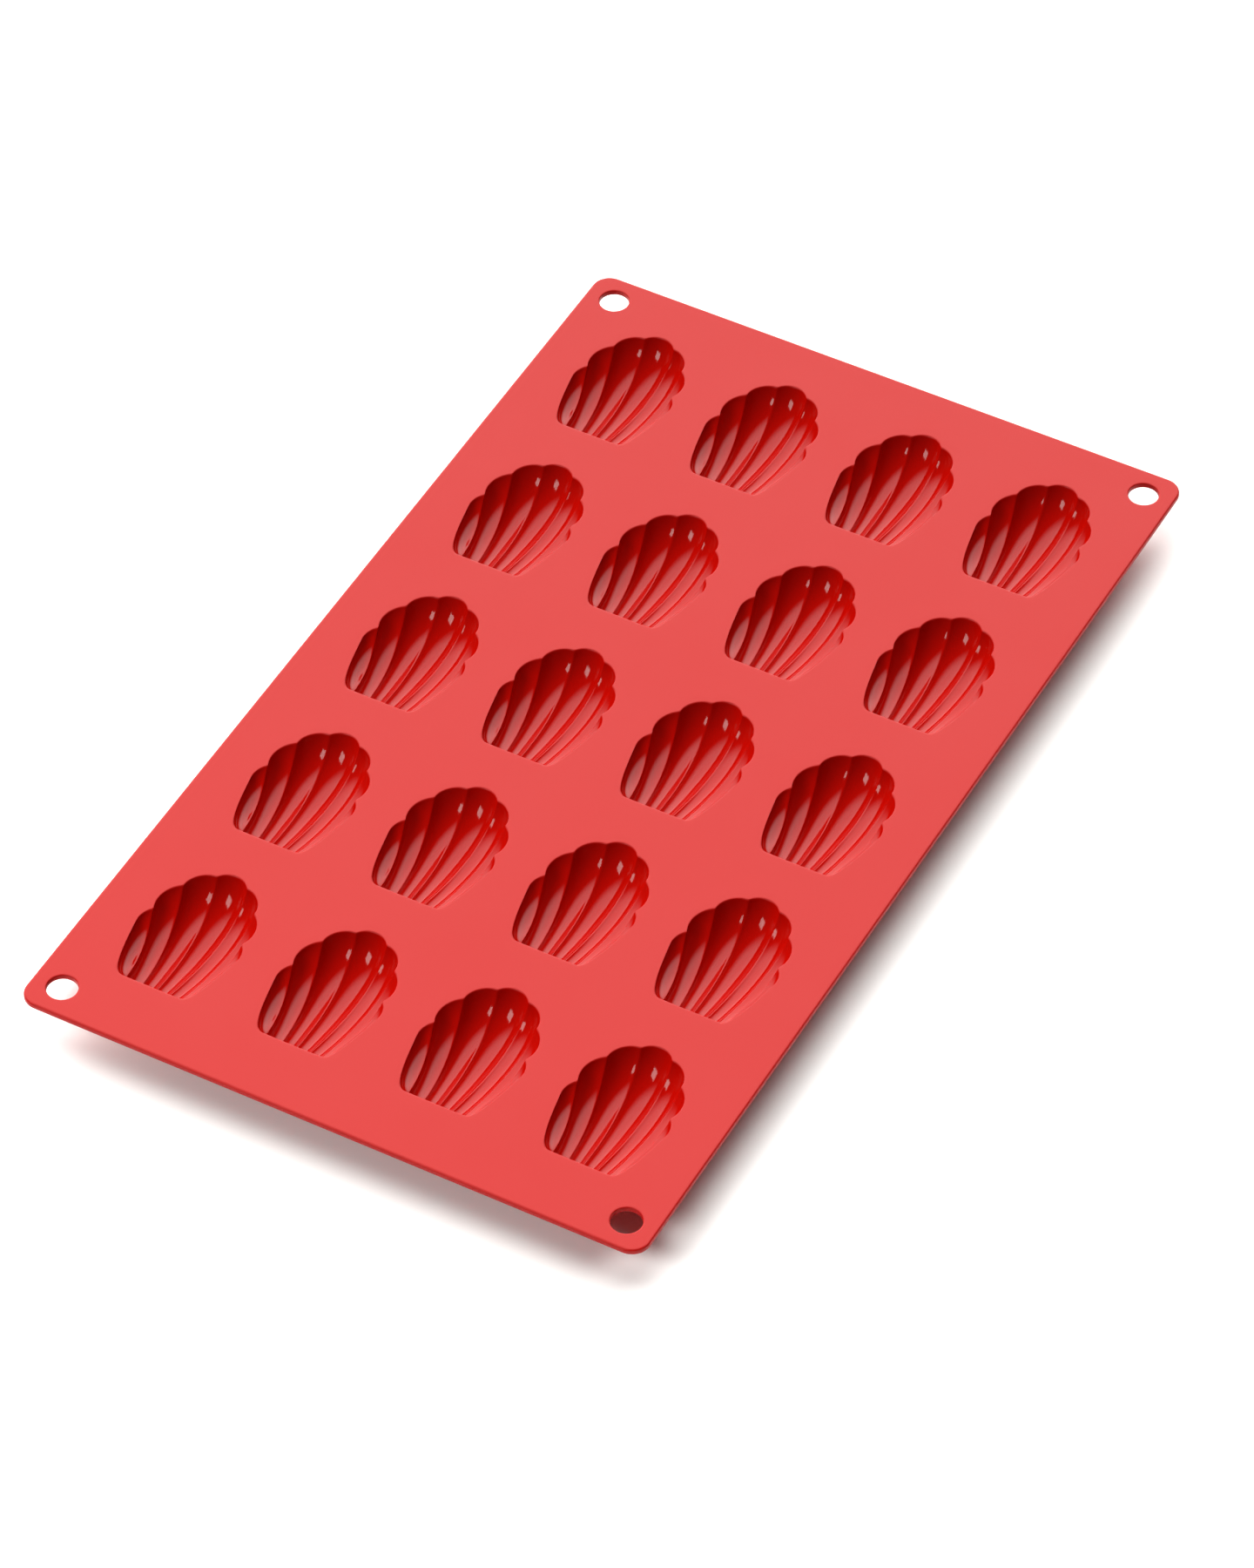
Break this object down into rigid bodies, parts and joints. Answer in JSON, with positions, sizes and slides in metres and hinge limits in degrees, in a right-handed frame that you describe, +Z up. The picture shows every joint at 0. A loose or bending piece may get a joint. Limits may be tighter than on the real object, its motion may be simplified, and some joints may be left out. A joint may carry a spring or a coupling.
{
  "type": "silicone baking mould",
  "caption": "Thin flexible silicone sheet with rows of small scallop-shell cups for baking madeleines, and a hole in each corner.",
  "frame": {"origin": "under the middle of the sheet, at the height of the cups' lowest points, which the mould stands on", "axes": "+X along the short sides, +Y along the long sides towards the cups' lobed tips, +Z up out of the cups"},
  "size_m": [0.175, 0.3, 0.0121],
  "materials": {
    "satin_silicone": "satin",
    "polished_silicone": "gloss"
  },
  "bodies": {
    "root": {"flat_sheet": "satin_silicone", "cup_r1_c1": "polished_silicone", "cup_r1_c2": "polished_silicone", "cup_r1_c3": "polished_silicone", "cup_r1_c4": "polished_silicone", "cup_r2_c1": "polished_silicone", "cup_r2_c2": "polished_silicone", "cup_r2_c3": "polished_silicone", "cup_r2_c4": "polished_silicone", "cup_r3_c1": "polished_silicone", "cup_r3_c2": "polished_silicone", "cup_r3_c3": "polished_silicone", "cup_r3_c4": "polished_silicone", "cup_r4_c1": "polished_silicone", "cup_r4_c2": "polished_silicone", "cup_r4_c3": "polished_silicone", "cup_r4_c4": "polished_silicone", "cup_r5_c1": "polished_silicone", "cup_r5_c2": "polished_silicone", "cup_r5_c3": "polished_silicone", "cup_r5_c4": "polished_silicone"}
  },
  "joints": []
}
